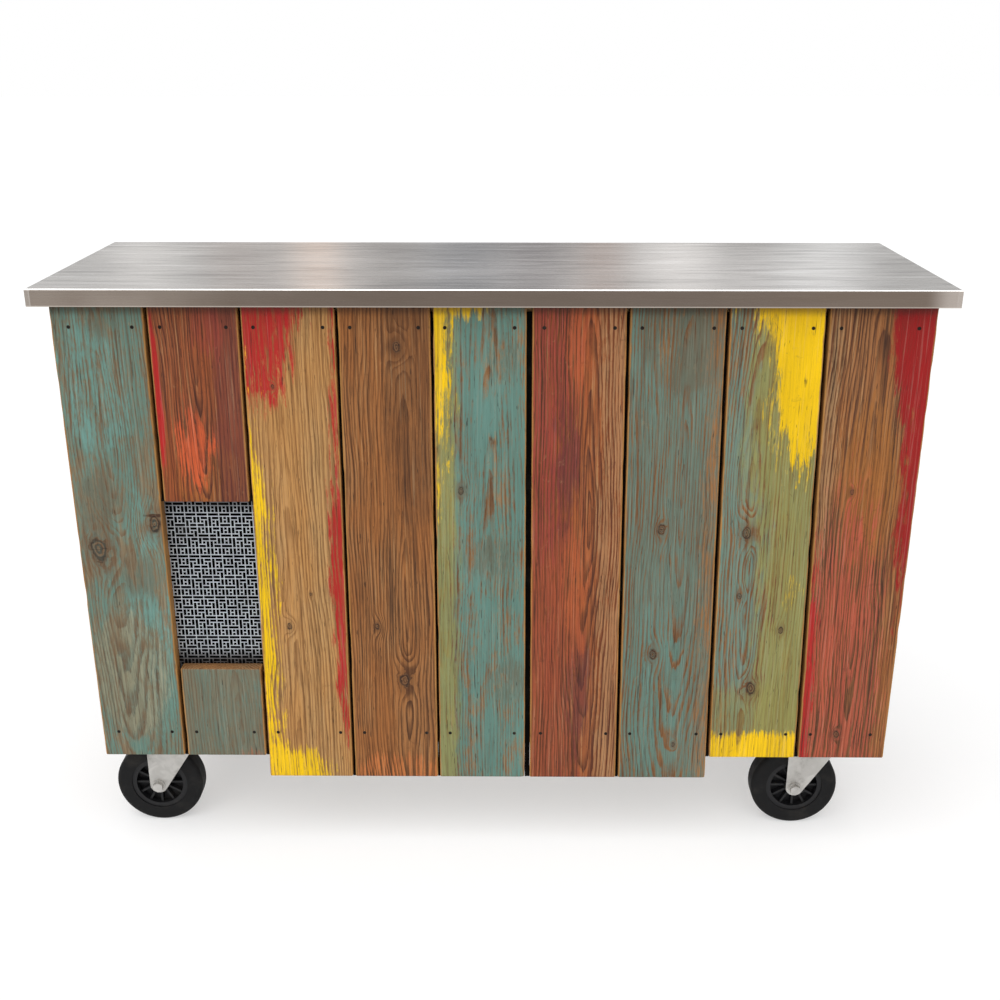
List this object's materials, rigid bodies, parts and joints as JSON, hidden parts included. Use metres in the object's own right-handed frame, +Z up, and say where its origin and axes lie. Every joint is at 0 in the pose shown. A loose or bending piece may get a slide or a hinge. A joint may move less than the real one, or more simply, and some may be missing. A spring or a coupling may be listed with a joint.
{
  "type": "refrigerated bar counter",
  "caption": "Mobile refrigerated bar counter: steel worktop, reclaimed-board front with a vent grille, insulated rear doors and swivel casters.",
  "frame": {"origin": "on the floor under the middle of the worktop", "axes": "+Z up, +X to the right seen from the boarded front, +Y from the boarded front to the doors"},
  "size_m": [1.45, 0.48, 1.025],
  "materials": {
    "worktop_skin": "brushed along its length, folded edge",
    "worktop_core": "plywood, raw",
    "plank_screws": "blackened steel",
    "vent_grille": "perforated sheet, dull",
    "timber_frame": "planed softwood, raw",
    "cold_floor": "white liner over foam, satin",
    "cold_ceiling": "white liner over foam, satin",
    "cold_front_wall": "white liner over foam, satin",
    "cold_end_walls": "white liner over foam, satin",
    "door_mullion": "white liner over foam, satin",
    "left_door": "brushed, satin",
    "right_door": "brushed, satin",
    "left_door_core": "white liner over foam, satin",
    "right_door_core": "white liner over foam, satin",
    "left_door_gasket": "soft black seal",
    "right_door_gasket": "soft black seal",
    "left_door_handle": "brushed, satin",
    "right_door_handle": "brushed, satin",
    "door_hinges": "zinc plated",
    "wire_shelves": "plated wire",
    "shelf_supports": "brushed, satin",
    "evaporator_housing": "mill finish sheet",
    "evaporator_coil": "fins",
    "evaporator_fan": "black moulded plastic, fine grain",
    "unit_tray": "galvanised sheet",
    "condenser_coil": "fins",
    "condenser_shroud": "black coated sheet",
    "condenser_fan": "black moulded plastic, fine grain",
    "compressor": "black enamel",
    "refrigerant_pipes": "copper tube",
    "machine_panel": "brushed, satin",
    "thermostat_knob": "black moulded plastic, fine grain",
    "power_inlet": "black moulded plastic, fine grain",
    "power_switch": "red rocker, glossy",
    "caster_plates": "zinc plated, pressed",
    "rear_left_brake_pedal": "zinc plated, pressed",
    "rear_right_brake_pedal": "zinc plated, pressed",
    "front_plank_1": "reclaimed board, worn paint",
    "front_plank_2_lower": "reclaimed board, worn paint",
    "front_plank_2_upper": "reclaimed board, worn paint",
    "front_plank_3": "reclaimed board, worn paint",
    "front_plank_4": "reclaimed board, worn paint",
    "front_plank_5": "reclaimed board, worn paint",
    "front_plank_6": "reclaimed board, worn paint",
    "front_plank_7": "reclaimed board, worn paint",
    "front_plank_8": "reclaimed board, worn paint",
    "front_plank_9": "reclaimed board, worn paint",
    "side_planks": "reclaimed board, worn paint",
    "front_left_fork": "zinc plated, pressed",
    "front_left_rim": "black moulded plastic, fine grain",
    "front_left_tyre": "black rubber",
    "front_right_fork": "zinc plated, pressed",
    "front_right_rim": "black moulded plastic, fine grain",
    "front_right_tyre": "black rubber",
    "rear_left_fork": "zinc plated, pressed",
    "rear_left_rim": "black moulded plastic, fine grain",
    "rear_left_tyre": "black rubber",
    "rear_right_fork": "zinc plated, pressed",
    "rear_right_rim": "black moulded plastic, fine grain",
    "rear_right_tyre": "black rubber"
  },
  "bodies": {
    "counter": {"worktop_skin": "worktop_skin", "worktop_core": "worktop_core", "plank_screws": "plank_screws", "vent_grille": "vent_grille", "timber_frame": "timber_frame", "cold_floor": "cold_floor", "cold_ceiling": "cold_ceiling", "cold_front_wall": "cold_front_wall", "cold_end_walls": "cold_end_walls", "door_mullion": "door_mullion", "door_hinges": "door_hinges", "wire_shelves": "wire_shelves", "shelf_supports": "shelf_supports", "evaporator_housing": "evaporator_housing", "evaporator_coil": "evaporator_coil", "unit_tray": "unit_tray", "condenser_coil": "condenser_coil", "condenser_shroud": "condenser_shroud", "compressor": "compressor", "refrigerant_pipes": "refrigerant_pipes", "machine_panel": "machine_panel", "power_inlet": "power_inlet", "caster_plates": "caster_plates", "front_plank_1": "front_plank_1", "front_plank_2_lower": "front_plank_2_lower", "front_plank_2_upper": "front_plank_2_upper", "front_plank_3": "front_plank_3", "front_plank_4": "front_plank_4", "front_plank_5": "front_plank_5", "front_plank_6": "front_plank_6", "front_plank_7": "front_plank_7", "front_plank_8": "front_plank_8", "front_plank_9": "front_plank_9", "side_planks": "side_planks"},
    "left_door": {"left_door": "left_door", "left_door_core": "left_door_core", "left_door_gasket": "left_door_gasket", "left_door_handle": "left_door_handle"},
    "right_door": {"right_door": "right_door", "right_door_core": "right_door_core", "right_door_gasket": "right_door_gasket", "right_door_handle": "right_door_handle"},
    "condenser_fan": {"condenser_fan": "condenser_fan"},
    "evaporator_fan": {"evaporator_fan": "evaporator_fan"},
    "thermostat_knob": {"thermostat_knob": "thermostat_knob"},
    "power_switch": {"power_switch": "power_switch"},
    "front_left_caster": {"front_left_fork": "front_left_fork"},
    "front_left_wheel": {"front_left_rim": "front_left_rim", "front_left_tyre": "front_left_tyre"},
    "front_right_caster": {"front_right_fork": "front_right_fork"},
    "front_right_wheel": {"front_right_rim": "front_right_rim", "front_right_tyre": "front_right_tyre"},
    "rear_left_caster": {"rear_left_fork": "rear_left_fork"},
    "rear_left_wheel": {"rear_left_rim": "rear_left_rim", "rear_left_tyre": "rear_left_tyre"},
    "rear_right_caster": {"rear_right_fork": "rear_right_fork"},
    "rear_right_wheel": {"rear_right_rim": "rear_right_rim", "rear_right_tyre": "rear_right_tyre"},
    "rear_left_brake": {"rear_left_brake_pedal": "rear_left_brake_pedal"},
    "rear_right_brake": {"rear_right_brake_pedal": "rear_right_brake_pedal"}
  },
  "joints": [
    {"name": "left_door_hinge", "type": "hinge", "parent": "counter", "child": "left_door", "pos_m": [-0.3115, 0.19, 0.626], "axis": [0, 0, 1], "range_deg": [0, 110]},
    {"name": "right_door_hinge", "type": "hinge", "parent": "counter", "child": "right_door", "pos_m": [0.6315, 0.19, 0.626], "axis": [0, 0, -1], "range_deg": [0, 110]},
    {"name": "condenser_fan_spin", "type": "hinge", "parent": "counter", "child": "condenser_fan", "pos_m": [-0.4745, -0.095, 0.51], "axis": [0, 1, 0], "continuous": true},
    {"name": "evaporator_fan_spin", "type": "hinge", "parent": "counter", "child": "evaporator_fan", "pos_m": [-0.228, 0.012, 0.82], "axis": [1, 0, 0], "continuous": true},
    {"name": "thermostat_turn", "type": "hinge", "parent": "counter", "child": "thermostat_knob", "pos_m": [-0.56, 0.2, 0.9], "axis": [0, 1, 0], "range_deg": [0, 270]},
    {"name": "power_switch_rock", "type": "hinge", "parent": "counter", "child": "power_switch", "pos_m": [-0.488, 0.198, 0.346], "axis": [-1, 0, 0], "range_deg": [0, 16]},
    {"name": "front_left_swivel", "type": "hinge", "parent": "counter", "child": "front_left_caster", "pos_m": [-0.595, -0.132, 0.18], "axis": [0, 0, 1], "continuous": true},
    {"name": "front_left_roll", "type": "hinge", "parent": "front_left_caster", "child": "front_left_wheel", "pos_m": [-0.629, -0.132, 0.08], "axis": [0, 1, 0], "continuous": true},
    {"name": "front_right_swivel", "type": "hinge", "parent": "counter", "child": "front_right_caster", "pos_m": [0.595, -0.132, 0.18], "axis": [0, 0, 1], "continuous": true},
    {"name": "front_right_roll", "type": "hinge", "parent": "front_right_caster", "child": "front_right_wheel", "pos_m": [0.561, -0.132, 0.08], "axis": [0, 1, 0], "continuous": true},
    {"name": "rear_left_swivel", "type": "hinge", "parent": "counter", "child": "rear_left_caster", "pos_m": [-0.595, 0.141, 0.18], "axis": [0, 0, 1], "continuous": true},
    {"name": "rear_left_roll", "type": "hinge", "parent": "rear_left_caster", "child": "rear_left_wheel", "pos_m": [-0.561, 0.141, 0.08], "axis": [0, 1, 0], "continuous": true},
    {"name": "rear_left_brake_press", "type": "hinge", "parent": "rear_left_caster", "child": "rear_left_brake", "pos_m": [-0.554, 0.141, 0.1685], "axis": [0, 1, 0], "range_deg": [0, 16]},
    {"name": "rear_right_swivel", "type": "hinge", "parent": "counter", "child": "rear_right_caster", "pos_m": [0.595, 0.141, 0.18], "axis": [0, 0, 1], "continuous": true},
    {"name": "rear_right_roll", "type": "hinge", "parent": "rear_right_caster", "child": "rear_right_wheel", "pos_m": [0.561, 0.141, 0.08], "axis": [0, 1, 0], "continuous": true},
    {"name": "rear_right_brake_press", "type": "hinge", "parent": "rear_right_caster", "child": "rear_right_brake", "pos_m": [0.554, 0.141, 0.1685], "axis": [0, -1, 0], "range_deg": [0, 16]}
  ]
}
